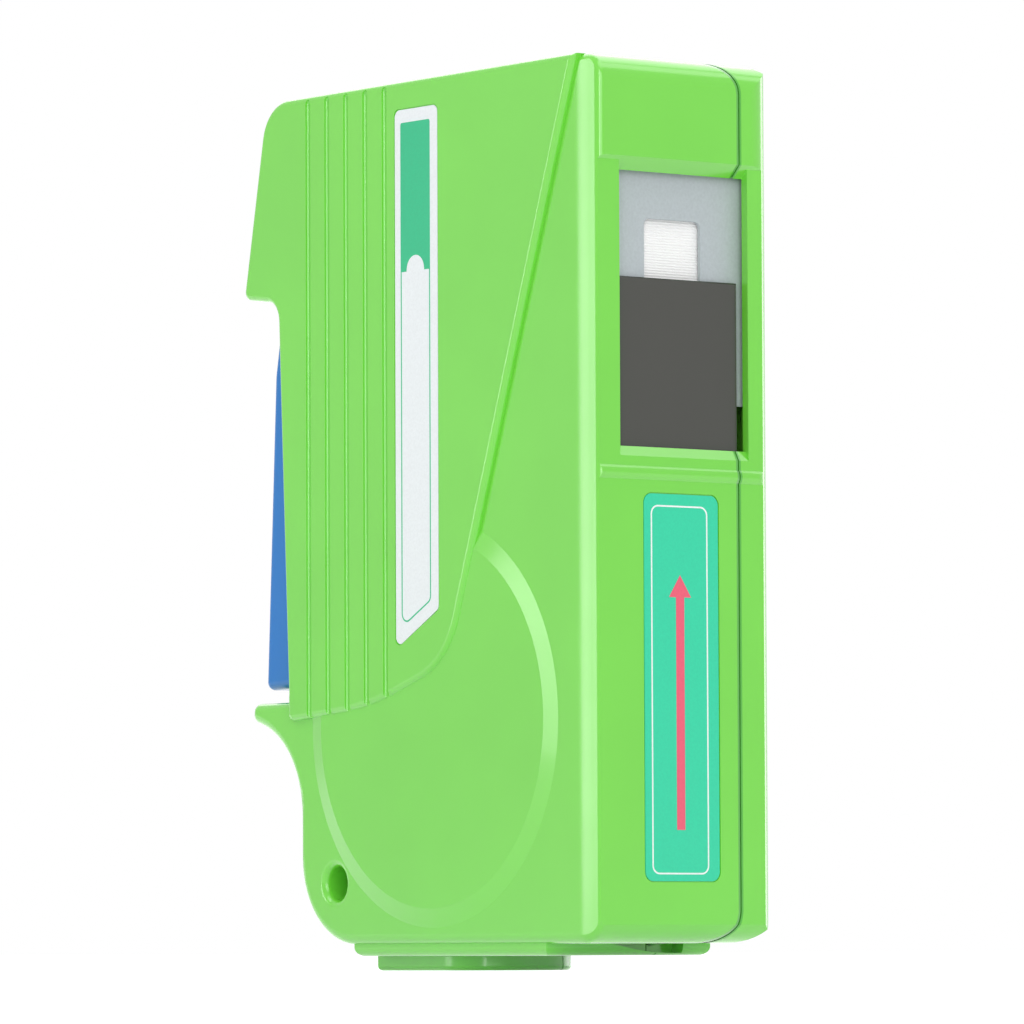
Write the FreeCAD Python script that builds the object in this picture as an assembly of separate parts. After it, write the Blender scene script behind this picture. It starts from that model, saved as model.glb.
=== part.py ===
"""Hand-held reel cassette for cleaning optical fibre connectors.

A two-shell moulded case holds a reel of cleaning tape, a take-up reel and a window in its narrow
front face.  Squeezing the lever at the back turns a toothed sector, which turns a stepped gear on
the take-up axle.  The gear pulls the shutter down by a rack and, through a sprung finger, winds
the tape on past the slotted plate behind the window.

Millimetres.  +X points out of the narrow front face, +Y from the labelled side to the plain side,
+Z up.  The origin is on the surface that the cassette stands on, under the middle of its box.
Places in the side view are written (back, up): back from the front face, up from the underside.
"""
import FreeCAD, Part
import math
import os

V = FreeCAD.Vector

# ---------------------------------------------------------------- case
case_height = 118.0          # underside to top
case_depth = 79.6            # front face to the tip of the finger guard
case_thickness = 32.0        # labelled panel to plain side
wall = 2.0
front_step = 0.5             # cheeks and lower front face stand this far behind the hood
side_step = 1.0              # side face stands this far inside the labelled panel
cover_depth = 6.7            # plain side to the seam
seam_gap = 0.2               # open line between the shells
seam_round = 4.5             # the seam turns the corners of the front face by this radius
side_round = 1.4             # rounding round both side faces
panel_round = 0.8            # rounding of the panel's own wall
cover_top_round = 4.0
cover_bottom_round = 6.0
cover_front_round = 4.4
corner_run = 3.4             # the labelled side draws in over this much of its front end ...
corner_lean = 0.6            # ... by this much
corner_sweep = 17.0          # rounding where it starts to draw in
corner_soft = 1.1            # rounding of the corner itself

front_x = case_depth / 2
near_y = -case_thickness / 2
far_y = case_thickness / 2
side_y = near_y + side_step
seam_y = far_y - cover_depth
inner_near_y = side_y + wall
inner_far_y = far_y - wall

# outline of the case in the side view
top_front_round = 3.5
bottom_front_round = 4.5
guard_top_back = case_depth - 5.5  # the finger guard's back line leans out from here ...
guard_top_round = 6.0
guard_under = case_height - 27.3   # ... down to its underside
guard_tip_round = 1.2
slot_top_back = case_depth - 8.2  # back edge of the side walls beside the lever
slot_bottom_back = case_depth - 10.6
slot_round = 3.0
spur_top = 33.8
spur_back = case_depth - 0.4
spur_thickness = 2.5
spur_round = 1.0
tail_back = case_depth - 11.9
tail_hollow_up = 27.5        # where the hollow under the spur would meet the tail if it were sharp
tail_hollow_round = 13.5
tail_round = 12.0

# foot
foot_front = 12.8
foot_back = case_depth - 23.6
step_drop = 1.6              # long step under the case
foot_drop = 3.6              # standing pad under the step
foot_half = 14.0
foot_round = 1.2
pad_front = 33.0
pad_half = 10.0
pad_corner = 8.0
notch_radius = 45.0          # finger-nail notch in the step's front
notch_y = 8.0
notch_depth = 2.5
notch_lip = 0.3

# window, hood and bead on the front face
window_bottom = 65.8
window_top = case_height - 15.5
window_y = 0.2               # the window's middle stands this far towards the plain side
window_half = case_thickness / 2 - 5.05
window_wall = 1.2            # the front wall is this thin round the window and the shutter
window_room = 0.65           # the thin part reaches this far past the window's sides
sill_drop = 1.3              # the window's lower edge is cut back over this height
sill_depth = 0.7
hood_bottom = window_top + 1.8
bead_up = 62.3
bead_radius = 1.35
bead_proud = 0.35            # bead past the cheeks

# raised panel, its grooves and the labels
panel_top_back = top_front_round + 0.1
panel_corner_back = 32.0
panel_corner_up = 37.9
panel_corner_round = 13.0
panel_low_back = 50.0
panel_low_up = 32.4
panel_low_round = 60.0
panel_end_up = 31.0
groove_count = 5
groove_first = case_depth - 15.8
groove_pitch = 4.48
groove_radius = 0.55
groove_top = case_height - 1.0
label_recess = 0.25
label_thickness = 0.2
label_play = 0.15
side_label_front = 33.8
side_label_back = 43.5
side_label_top = case_height - 4.0
side_label_bottom = 40.2
side_label_slant = 5.2
side_label_round = 1.0
arrow_label_bottom = 8.2
arrow_label_top = 59.6
arrow_label_y = -0.5
arrow_label_half = 6.3
arrow_label_round = 1.3
bulge_radius = 27.8
bulge_slope = 2.6
bulge_height = 0.5

# lanyard hole
lanyard_back = case_depth - 20.4
lanyard_up = 8.4
lanyard_radius = 2.35
lanyard_rim = 1.0
lanyard_boss = 4.6

boss_radius = 3.6            # bosses that hold the axles

# alignment posts near the corners, and one between the reels
post_front = 16.0
post_back = case_depth - 21.6
post_from_top = 7.0
post_corner = 7.5
post_radius = 3.0
peg_radius = 1.4
peg_length = 3.0
peg_play = 0.08

# ---------------------------------------------------------------- fits
run_fit = 0.05               # radial play of a part that turns on its pin
seat_fit = 0.02              # radial play of a pin held in the case
slide_fit = 0.2              # play each side of what slides
soft_gap = 0.3               # tape, pad and rolls stand this far off their neighbours
layer_gap = 0.3              # between parts that turn side by side

# ---------------------------------------------------------------- lever and its sector
pivot_back = case_depth - 9.1
pivot_up = case_height - 26.0
pivot_pin_radius = 2.0
lever_boss_radius = 4.5
lever_side_gap = 0.6
lever_half = -inner_near_y - lever_side_gap
throat_gap = 1.3             # between the pivot tube and the edge of the guard's underside
lever_skin = 2.0
lever_bottom_back = case_depth - 0.1
lever_bottom_up = spur_top + 1.9
lever_knee_back = case_depth - 2.3
lever_knee_up = pivot_up - 12.0
lever_knee_round = 8.0
lever_skirt_bottom_back = lever_bottom_back - 17.0
lever_skirt_top_back = lever_knee_back - 11.8
lever_skirt_round = 3.0
lever_floor_back = lever_skirt_bottom_back + 5.5  # the lever's floor ends here, clear of the supply reel

# ---------------------------------------------------------------- gears
tooth_module = 1.0
pressure_angle = 20.0
tooth_slack = 0.3
addendum = 0.8
dedendum = 1.1
pinion_teeth = 10
gear_teeth = 24
sector_teeth = 52            # teeth of the whole circle that the sector belongs to
sector_first = -4            # teeth either side of the line to the gear at rest
sector_last = 4
sector_rim = 3.0
takeup_up = case_height - 33.0
gear_clearance = 1.65        # from the take-up reel to the gear, for ratchet and finger
gear_thickness = 1.8
pinion_wall_gap = 1.6        # from the pinion to the plain side's wall
rack_back_width = 3.2
rack_reach = 15.5            # teeth above and below the take-up axle

# ---------------------------------------------------------------- reels, rolls and tape
reel_gap = 13.0              # room for a post between the two reels' flanges
flange_thickness = 0.9
hub_radius = 8.0
reel_holes = 5
reel_hole_share = 0.55       # of the flange's width between hub and edge
axle_radius = 2.0
side_room = 10.75            # from the tape's edge to the outside of the case
tape_half = case_thickness / 2 - side_room
flange_gap = 0.2
takeup_wound = 4.0           # depth of tape on each hub
supply_inset = 4.0           # the supply roll ends this far inside its flanges
supply_back = (tail_back + 5.3) / 2
reel_floor = 9.0             # from the underside to the supply reel's flange
tape_thickness = 0.25
ratchet_teeth = 20
ratchet_radius = 9.0
ratchet_root = 7.9
ratchet_thickness = 1.2
spring_strip = 0.6
brake_half = 10.5
brake_foot = 4.0
pawl_post_radius = 1.6
spring_drop = 6.6            # the spring acts this far below the lever's middle
spring_up = (pivot_up + lever_bottom_up) / 2 - spring_drop
spring_radius = 3.6
spring_wire = 0.4
spring_turns = 6
spring_steps = 10
spring_seat_back = case_depth - 27.1
spring_seat_thickness = 2.5

# ---------------------------------------------------------------- behind the window
shutter_thickness = 0.6
shutter_bevel = 0.2
shutter_half = window_half - 0.7
shutter_overlap = 0.8        # the shutter is longer than the window by this
shutter_drop = 14.0          # from the window's top to the shutter's, half open
shutter_travel = 13.5        # room below the shutter, for the rest of its way down
slider_height = 5.5
slider_thickness = 0.8
plate_thickness = 0.5
plate_bottom = window_bottom + 6.2
plate_top = window_top + 5.0
plate_half = -inner_near_y - 0.7
slot_half = tape_half - 0.45
slot_bottom = window_bottom + 10.7
slot_top = window_top - 6.0
slot_corner = 0.9
pad_bottom = slot_bottom - 1.0
pad_top = slot_top + 1.3
pad_thickness = 2.4
pad_seat = 1.5               # the holder reaches this far past the pad's ends
holder_depth = 3.0
holder_half = tape_half + 2.15
guide_radius = 2.5
pin_film = 0.05              # between the tape and the pins that it runs over
ear_radius = 2.8             # round ends of the pad holder, round the guide pins
lower_bend_up = plate_bottom - 2.0
upper_pin_gap = 1.5          # between the pad holder and the upper guide pin

reel_outer = tape_half + flange_gap + flange_thickness
gear_near_y = reel_outer + gear_clearance
gear_far_y = gear_near_y + gear_thickness
pinion_far_y = inner_far_y - pinion_wall_gap
pinion_radius = tooth_module * pinion_teeth / 2
gear_radius = tooth_module * gear_teeth / 2
sector_radius = tooth_module * sector_teeth / 2
centre_distance = sector_radius + pinion_radius
takeup_back = pivot_back - math.sqrt(centre_distance ** 2 - (pivot_up - takeup_up) ** 2)
flange_radius = (takeup_up - reel_floor - reel_gap) / 3
supply_up = reel_floor + flange_radius
takeup_roll_radius = hub_radius + takeup_wound
supply_roll_radius = flange_radius - supply_inset
pawl_post_back = takeup_back + 13.7
pawl_post_up = takeup_up + 13.0
post_places = (
    (post_front, case_height - post_from_top),
    (post_back, case_height - post_from_top),
    (post_corner, post_corner),
    ((supply_back + takeup_back) / 2, (supply_up + takeup_up) / 2),
)
shutter_length = window_top - window_bottom + shutter_overlap
shutter_top = window_top - shutter_drop
shutter_back = front_step + window_wall + slide_fit
plate_back = shutter_back + shutter_thickness + slide_fit + 0.05
tape_back = plate_back + plate_thickness + soft_gap + tape_thickness / 2
pad_back = tape_back + tape_thickness / 2 + soft_gap
holder_back = pad_back + pad_thickness


# ---------------------------------------------------------------- drawing helpers
def place(back, up, y=0.0):
    """Point of the side view in the part's own frame."""
    return V(front_x - back, y, foot_drop + up)


def turned_edges(corners, closed=True):
    """Edges through (point, radius) corners, each corner turned by an arc of its radius."""
    count = len(corners)
    starts = []
    ends = []
    arcs = []
    for i, (here, radius) in enumerate(corners):
        if radius == 0:
            starts.append(here)
            ends.append(here)
            arcs.append(None)
            continue
        before = (corners[i - 1][0] - here).normalize()
        after = (corners[(i + 1) % count][0] - here).normalize()
        half = before.getAngle(after) / 2
        reach = radius / math.tan(half)
        inward = (before + after).normalize()
        middle = here + inward * (radius / math.sin(half) - radius)
        starts.append(here + before * reach)
        ends.append(here + after * reach)
        arcs.append(Part.Arc(starts[i], middle, ends[i]).toShape())
    edges = []
    for i in range(count):
        if arcs[i]:
            edges.append(arcs[i])
        if i + 1 < count or closed:
            edges.append(Part.makeLine(ends[i], starts[(i + 1) % count]))
    return edges


def rounded_edges(corners, closed=True):
    """The same through (back, up, radius) corners of the side view."""
    return turned_edges([(place(back, up), radius) for back, up, radius in corners], closed)


def bend_centre(corners, i):
    """Centre of the arc that turns corner i, as (back, up)."""
    back, up, radius = corners[i]
    here = place(back, up)
    before = (place(*corners[i - 1][:2]) - here).normalize()
    after = (place(*corners[i + 1][:2]) - here).normalize()
    half = before.getAngle(after) / 2
    centre = here + (before + after).normalize() * (radius / math.sin(half))
    return front_x - centre.x, centre.z - foot_drop


def face(corners):
    return Part.Face(Part.Wire(rounded_edges(corners)))


def slab(flat, low_y, high_y):
    """A side-view face given its thickness from low_y to high_y."""
    moved = flat.copy()
    moved.translate(V(0, low_y, 0))
    return moved.extrude(V(0, high_y - low_y, 0))


def rod(back, up, radius, low_y, high_y):
    return Part.makeCylinder(radius, high_y - low_y, place(back, up, low_y), V(0, 1, 0))


def block(back, up, low_y, high_y):
    """Box from (front, back), (low, high) and two sides."""
    return Part.makeBox(back[1] - back[0], high_y - low_y, up[1] - up[0],
                        place(back[1], up[0], low_y))


def fuse(shapes):
    return shapes[0].multiFuse(shapes[1:]).removeSplitter()


# ---------------------------------------------------------------- the two shells
def case_corners(front):
    return [
        (front, 0, bottom_front_round),
        (front, case_height, top_front_round),
        (guard_top_back, case_height, guard_top_round),
        (case_depth, guard_under, guard_tip_round),
        (slot_top_back, guard_under - 1.0, slot_round),
        (slot_bottom_back, spur_top, spur_round),
        (spur_back, spur_top, spur_round),
        (spur_back, spur_top - spur_thickness, spur_round),
        (tail_back, tail_hollow_up, tail_hollow_round),
        (tail_back, 0, tail_round),
    ]


def cavity_corners():
    guard_lean = (case_depth - guard_top_back) / (case_height - guard_under)
    throat = pivot_back + lever_boss_radius + throat_gap
    outside = case_depth + 10
    tail_inside = tail_back - wall
    return [
        (front_step + wall, wall, bottom_front_round - wall),
        (front_step + wall, case_height - wall, top_front_round - wall),
        (guard_top_back - wall + wall * guard_lean, case_height - wall, guard_top_round - wall),
        (case_depth - wall - wall * guard_lean, guard_under + wall, 0),
        (throat, guard_under + wall, 0),
        (throat, guard_under - 1.3, 0),
        (outside, guard_under - 1.3, 0),
        (outside, spur_top, 0),
        (tail_inside + 4, spur_top, spur_round),
        (tail_inside, tail_hollow_up - wall, 6.0),
        (tail_inside, wall, tail_round - wall),
    ]


def front_relief():
    """What is cut from the front face below the hood, round the bead."""
    recess = face([
        (-2, -6, 0), (-2, hood_bottom, 0), (0, hood_bottom, 0),
        (front_step, hood_bottom - front_step, 0), (front_step, -6, 0),
    ])
    cut = slab(recess, near_y - 1, far_y + 1)
    bead = rod(front_step - bead_proud + bead_radius, bead_up, bead_radius, near_y - 2, far_y + 2)
    return cut.cut(bead)


def plan_prism():
    """The case seen from above: drawn-in corner at the labelled side, round at the plain side."""
    bottom = -5.0
    height = case_height + foot_drop + 10
    back = front_x - case_depth - 5
    path = [
        (back, side_y, 0), (front_x - corner_run, side_y, corner_sweep),
        (front_x, side_y + corner_lean, corner_soft), (front_x, far_y, cover_front_round),
        (back, far_y, 0),
    ]
    edges = turned_edges([(V(x, y, bottom), r) for x, y, r in path])
    return Part.Face(Part.Wire(edges)).extrude(V(0, 0, height))


def front_prism():
    """The case seen from the front, with the plain side's large rounds."""
    back = front_x - case_depth - 10
    low = foot_drop
    high = foot_drop + case_height
    path = [
        (side_y, low, side_round), (far_y, low, cover_bottom_round),
        (far_y, high, cover_top_round), (side_y, high, side_round),
    ]
    edges = turned_edges([(V(back, y, z), r) for y, z, r in path])
    return Part.Face(Part.Wire(edges)).extrude(V(case_depth + 20, 0, 0))


def rim_edges(solid, y):
    """Edges of a solid that lie in the plane at y."""
    found = []
    for edge in solid.Edges:
        box = edge.BoundBox
        if abs(box.YMin - y) < 1e-4 and abs(box.YMax - y) < 1e-4:
            found.append(edge)
    return found


def case_blank():
    blank = slab(face(case_corners(0.0)), side_y, far_y)
    blank = blank.makeFillet(side_round, rim_edges(blank, side_y))
    blank = blank.makeFillet(side_round, rim_edges(blank, far_y))
    blank = blank.common(plan_prism())
    blank = blank.common(front_prism())
    return blank.cut(front_relief())


def near_zone(grow):
    """All that belongs to the labelled shell: everything short of the seam, round at its corners."""
    back = front_x - case_depth - 10
    low = foot_drop - grow
    high = foot_drop + case_height + grow
    reach = near_y - 5
    radius = seam_round + grow
    path = [
        (reach, low, 0), (seam_y + grow, low, radius), (seam_y + grow, high, radius), (reach, high, 0),
    ]
    edges = turned_edges([(V(back, y, z), r) for y, z, r in path])
    return Part.Face(Part.Wire(edges)).extrude(V(case_depth + 20, 0, 0))


def window_cut():
    """Window through the front wall: its top reveal slopes up to the hood, its sill down and out."""
    behind = front_step + wall + 1
    hole = face([
        (-2, window_bottom - sill_drop, 0), (-2, hood_bottom + 2, 0), (0, hood_bottom, 0),
        (hood_bottom - window_top, window_top, 0), (behind, window_top, 0),
        (behind, window_bottom, 0), (front_step + sill_depth, window_bottom, 0),
        (front_step, window_bottom - sill_drop, 0),
    ])
    return slab(hole, window_y - window_half, window_y + window_half)


def shutter_room():
    """What is taken off the inside of the front wall, so that the shutter runs close behind it."""
    reach = window_half + window_room
    return block((front_step + window_wall, front_step + wall + 0.5),
                 (shutter_top - shutter_length - shutter_travel, window_top + shutter_overlap + 0.5),
                 window_y - reach, window_y + reach)


def foot():
    low = block((foot_front, foot_back), (-step_drop, 0.8), -foot_half, foot_half)
    low_edges = [e for e in low.Edges if e.BoundBox.ZMax < foot_drop - step_drop + 1e-4]
    low = low.makeFillet(foot_round, low_edges)
    pad = block((pad_front, foot_back), (-foot_drop, 0.4), -pad_half, pad_half)
    upright = [e for e in pad.Edges if e.BoundBox.ZLength > 1 and e.BoundBox.XMin > front_x - foot_back + 1]
    pad = pad.makeFillet(pad_corner, upright)
    sole = [e for e in pad.Edges if e.BoundBox.ZMax < 1e-4]
    pad = pad.makeFillet(0.6, sole)
    notch = Part.makeCylinder(notch_radius, notch_depth,
                              V(front_x - foot_front - notch_depth, notch_y,
                                foot_drop - step_drop + notch_lip + notch_radius), V(1, 0, 0))
    keep = block((foot_front - 1, foot_front + notch_depth), (-step_drop - 1, -0.05), -foot_half, seam_y)
    return fuse([low, pad]).cut(notch.common(keep))


def foot_zone():
    """Side view of all that lies under and just inside the case's floor."""
    return [(0, -foot_drop - 1, 0), (case_depth, -foot_drop - 1, 0), (case_depth, wall, 0), (0, wall, 0)]


def panel():
    """Raised panel with slanting front edge, cut to the case's outline."""
    high = case_height + 8
    out = case_depth + 8
    slant = (panel_corner_back - panel_top_back) / (case_height - panel_corner_up)
    step = spur_top + 2 * spur_round
    slot_lean = (slot_top_back - slot_bottom_back) / (guard_under - 1.0 - spur_top)
    end_back = slot_bottom_back + slot_lean * (step - spur_top)
    region = face([
        (panel_top_back - slant * 8, high, 0), (out, high, 0), (out, step, 0),
        (end_back, step, 0), (end_back, panel_end_up, spur_round),
        (panel_low_back, panel_low_up, panel_low_round),
        (panel_corner_back, panel_corner_up, panel_corner_round),
    ])
    flat = region.common(face(case_corners(0.0)))
    raised = slab(flat.Faces[0], near_y, inner_near_y)
    return raised


def grooves():
    cuts = []
    for i in range(groove_count):
        back = groove_first - i * groove_pitch
        top = place(back, groove_top, near_y)
        cuts.append(Part.makeCylinder(groove_radius, groove_top, top - V(0, 0, groove_top)))
        cuts.append(Part.makeSphere(groove_radius, top))
    return cuts


def side_label_corners(grow):
    return [
        (side_label_front - grow, side_label_top + grow, side_label_round),
        (side_label_back + grow, side_label_top + grow, side_label_round),
        (side_label_back + grow, side_label_bottom - grow, side_label_round),
        (side_label_front - grow, side_label_bottom + side_label_slant - grow, side_label_round),
    ]


def label_corners_front(grow):
    """The arrow label's outline seen from the front, as (y, up, radius)."""
    low_y = arrow_label_y - arrow_label_half - grow
    high_y = arrow_label_y + arrow_label_half + grow
    low = foot_drop + arrow_label_bottom - grow
    high = foot_drop + arrow_label_top + grow
    return low_y, high_y, low, high, arrow_label_round + grow


def front_label(grow, front, thickness):
    low_y, high_y, low, high, radius = label_corners_front(grow)
    x = front_x - front - thickness
    path = [
        (V(x, low_y, low), radius), (V(x, high_y, low), radius),
        (V(x, high_y, high), radius), (V(x, low_y, high), radius),
    ]
    return Part.Face(Part.Wire(turned_edges(path))).extrude(V(thickness, 0, 0))


def side_label(grow, low_y, high_y):
    return slab(face(side_label_corners(grow)), low_y, high_y)


def rounded_panel():
    """The panel with its own wall softly rounded and its rim rounded like the case."""
    raised = panel()
    edges = rim_edges(raised, near_y)
    raised = raised.makeFillet(panel_round, edges)
    for groove in grooves():
        raised = raised.cut(groove)
    return raised


def bulge():
    """Shallow round swelling of the side wall over the supply reel."""
    cone = Part.makeCone(bulge_radius, bulge_radius - bulge_slope, bulge_height,
                         place(supply_back, supply_up, side_y), V(0, -1, 0))
    return cone


def posts(low_y, high_y, peg):
    made = []
    for back, up in post_places:
        made.append(rod(back, up, post_radius, low_y, high_y))
        if peg:
            made.append(rod(back, up, peg_radius, low_y - peg_length, low_y + 1))
    return made


def hole_mouth(surface, inward):
    """What the rounded mouth of the lanyard hole takes out of a side face."""
    centre = place(lanyard_back, lanyard_up, surface)
    disc = Part.makeCylinder(lanyard_radius + lanyard_rim, lanyard_rim + 0.5,
                             centre - V(0, inward * 0.5, 0), V(0, inward, 0))
    ring = Part.makeTorus(lanyard_radius + lanyard_rim, lanyard_rim,
                          centre + V(0, inward * lanyard_rim, 0), V(0, 1, 0))
    return disc.cut(ring)


def near_shell():
    shell = case_blank().common(near_zone(0.0))
    shell = shell.cut(slab(face(cavity_corners()), inner_near_y, far_y))
    own_foot = foot().common(slab(face(foot_zone()), near_y, seam_y - seam_round))
    shell = fuse([shell, rounded_panel(), bulge(), own_foot]
                 + posts(inner_near_y - 0.5, seam_y, False)
                 + [rod(lanyard_back, lanyard_up, lanyard_boss, inner_near_y - 0.5, seam_y),
                    rod(takeup_back, takeup_up, boss_radius, inner_near_y - 0.5,
                        -reel_outer - ratchet_thickness - layer_gap),
                    rod(supply_back, supply_up, boss_radius, inner_near_y - 0.5, -reel_outer - layer_gap),
                    rod(pawl_post_back, pawl_post_up, pawl_post_radius, inner_near_y - 0.5,
                        -reel_outer - layer_gap),
                    block((spring_seat_back, spring_seat_back + spring_seat_thickness),
                          (spring_up - 5, spring_up + 5), inner_near_y - 0.5, 5.0)])
    cuts = [window_cut(), shutter_room(),
            side_label(label_play, near_y - 1, near_y + label_recess),
            front_label(label_play, front_step - 1, 1 + label_recess),
            rod(takeup_back, takeup_up, axle_radius + seat_fit, inner_near_y - 1.2, seam_y),
            rod(supply_back, supply_up, axle_radius + seat_fit, inner_near_y - 1.2, seam_y),
            rod(pivot_back, pivot_up, pivot_pin_radius + seat_fit, inner_near_y - 2.0, seam_y),
            rod(lanyard_back, lanyard_up, lanyard_radius, near_y - 1, far_y)]
    for back, up in post_places:
        cuts.append(rod(back, up, peg_radius + peg_play, seam_y - peg_length - 0.3, seam_y + 1))
    cuts.append(hole_mouth(side_y, 1))
    for cut in cuts:
        shell = shell.cut(cut)
    return shell


def far_shell():
    shell = case_blank().cut(near_zone(seam_gap))
    shell = shell.cut(slab(face(cavity_corners()), near_y, inner_far_y))
    own_foot = foot().common(slab(face(foot_zone()), seam_y - seam_round + seam_gap, far_y))
    own_foot = own_foot.cut(near_zone(seam_gap))
    shell = fuse([shell, own_foot]
                 + posts(seam_y, inner_far_y + 0.5, True)
                 + [rod(lanyard_back, lanyard_up, lanyard_boss, seam_y, inner_far_y + 0.5),
                    rod(takeup_back, takeup_up, boss_radius, pinion_far_y + layer_gap, inner_far_y + 0.5),
                    rod(supply_back, supply_up, boss_radius, reel_outer + layer_gap, inner_far_y + 0.5),
                    rod(pivot_back, pivot_up, boss_radius, lever_half + layer_gap, inner_far_y + 0.5)])
    cuts = [window_cut(), shutter_room(),
            rod(takeup_back, takeup_up, axle_radius + seat_fit, seam_y - 5, inner_far_y + 1),
            rod(supply_back, supply_up, axle_radius + seat_fit, seam_y - 5, inner_far_y + 1),
            rod(pivot_back, pivot_up, pivot_pin_radius + seat_fit, seam_y - 5, inner_far_y + 1),
            rod(lanyard_back, lanyard_up, lanyard_radius, near_y - 1, far_y + 1)]
    cuts.append(hole_mouth(far_y, -1))
    for cut in cuts:
        shell = shell.cut(cut)
    return shell


# ---------------------------------------------------------------- gears
def involute(angle):
    return math.tan(angle) - angle


def tooth_half_angle(radius, pitch_radius):
    """Half the angle that a tooth fills at a radius."""
    pressure = math.radians(pressure_angle)
    base = pitch_radius * math.cos(pressure)
    thickness = math.pi * tooth_module / 2 - tooth_slack
    here = math.acos(base / max(radius, base))
    return thickness / 2 / pitch_radius + involute(pressure) - involute(here)


def tooth_points(back, up, pitch_radius, angle):
    """Outline of one tooth, from its root on one side to its root on the other."""
    radii = [pitch_radius - dedendum, pitch_radius - dedendum * 0.4, pitch_radius,
             pitch_radius + addendum]
    centre = place(back, up)
    points = []
    for radius, side in [(r, -1) for r in radii] + [(r, 1) for r in reversed(radii)]:
        turn = angle + side * tooth_half_angle(radius, pitch_radius)
        points.append(centre + V(radius * math.cos(turn), 0, radius * math.sin(turn)))
    return points


def gear_face(back, up, teeth, angle):
    """Whole gear with one tooth centred on the given angle."""
    radius = tooth_module * teeth / 2
    points = []
    for i in range(teeth):
        points += tooth_points(back, up, radius, angle + 2 * math.pi * i / teeth)
    return Part.Face(Part.makePolygon(points + points[:1]))


def mesh_angle():
    """Direction from the gear's axle to the lever's pivot, in the plane of X and Z."""
    return math.atan2(pivot_up - takeup_up, takeup_back - pivot_back)


# ---------------------------------------------------------------- moving parts
def drive_gear():
    """Pinion for the lever and larger gear for the shutter's rack, on one bore."""
    pinion = slab(gear_face(takeup_back, takeup_up, pinion_teeth, mesh_angle()),
                  gear_far_y, pinion_far_y)
    half_tooth = math.pi / gear_teeth
    large = slab(gear_face(takeup_back, takeup_up, gear_teeth, half_tooth), gear_near_y, gear_far_y)
    for i in range(6):
        turn = math.pi / 3 * i
        large = large.cut(rod(takeup_back - 7.6 * math.cos(turn), takeup_up + 7.6 * math.sin(turn),
                              1.7, gear_near_y - 1, gear_far_y + 1))
    collar = rod(takeup_back, takeup_up, 3.4, reel_outer + flange_gap, gear_far_y)
    anchor = finger_anchor()
    gear = fuse([pinion, large, collar, anchor])
    return gear.cut(rod(takeup_back, takeup_up, axle_radius + run_fit, 0, far_y))


finger_turn = math.radians(200)


def finger_anchor():
    """Stud on the gear that carries the sprung drive finger."""
    return rod(takeup_back - (gear_radius - 1.6) * math.cos(finger_turn),
               takeup_up + (gear_radius - 1.6) * math.sin(finger_turn), 0.9,
               reel_outer + 0.4, gear_near_y + 0.5)


def drive_finger():
    """Curved spring strip from the gear's stud to the reel's ratchet teeth."""
    radius = gear_radius - 1.6
    centre = place(takeup_back, takeup_up)

    def at(r, degrees):
        turn = finger_turn + math.radians(degrees)
        return centre + V(r * math.cos(turn), 0, r * math.sin(turn))
    outer = Part.Arc(at(radius + 0.3 + 1.0, 8), at(radius, 30), at(ratchet_radius + 0.9, 58)).toShape()
    inner = Part.Arc(at(radius + 0.3 + 0.5, 8), at(radius - spring_strip, 30),
                     at(ratchet_radius + 0.3, 58)).toShape()
    low = Part.makeLine(at(radius + 0.3 + 0.5, 8), at(radius + 0.3 + 1.0, 8))
    tip = Part.makeLine(at(ratchet_radius + 0.3, 58), at(ratchet_radius + 0.9, 58))
    strip = Part.Face(Part.Wire(Part.sortEdges([outer, tip, inner, low])[0]))
    return slab(strip, reel_outer + 0.5, gear_near_y - 0.3)


def ratchet_face(back, up, lean):
    points = []
    centre = place(back, up)
    for i in range(ratchet_teeth):
        turn = 2 * math.pi * i / ratchet_teeth
        step = lean * 2 * math.pi / ratchet_teeth
        points.append(centre + V(ratchet_radius * math.cos(turn), 0, ratchet_radius * math.sin(turn)))
        points.append(centre + V(ratchet_root * math.cos(turn + 0.08 * step), 0,
                                 ratchet_root * math.sin(turn + 0.08 * step)))
    if lean < 0:
        points.reverse()
    return Part.Face(Part.makePolygon(points + points[:1]))


def reel(back, up):
    """Moulded reel: hub, two flanges and a ring of windows in each flange."""
    parts = [rod(back, up, hub_radius, -reel_outer, reel_outer),
             rod(back, up, flange_radius, -reel_outer, -reel_outer + flange_thickness),
             rod(back, up, flange_radius, reel_outer - flange_thickness, reel_outer)]
    body = fuse(parts)
    middle = (hub_radius + flange_radius) / 2
    hole = (flange_radius - hub_radius) / 2 * reel_hole_share
    for i in range(reel_holes):
        turn = 2 * math.pi * i / reel_holes
        body = body.cut(rod(back - middle * math.cos(turn), up + middle * math.sin(turn), hole,
                            -reel_outer - 1, reel_outer + 1))
    ring = rod(back, up, hub_radius - 1.6, -reel_outer - 1, reel_outer + 1)
    ring = ring.cut(rod(back, up, axle_radius + 1.5, -reel_outer - 2, reel_outer + 2))
    web = rod(back, up, hub_radius, -0.8, 0.8)
    body = body.cut(ring.cut(web))
    return body.cut(rod(back, up, axle_radius + run_fit, -far_y, far_y))


def ratchet(low_y, high_y, lean):
    ring = slab(ratchet_face(takeup_back, takeup_up, lean), low_y, high_y)
    return ring.cut(rod(takeup_back, takeup_up, hub_radius - 1.6, low_y - 1, high_y + 1))


def roll(back, up, radius):
    outer = rod(back, up, radius, -tape_half, tape_half)
    return outer.cut(rod(back, up, hub_radius + 0.1, -tape_half - 1, tape_half + 1))


def axle(back, up, radius, low_y, high_y):
    pin = rod(back, up, radius, low_y, high_y)
    return pin.makeChamfer(0.3, rim_edges(pin, low_y) + rim_edges(pin, high_y))


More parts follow.
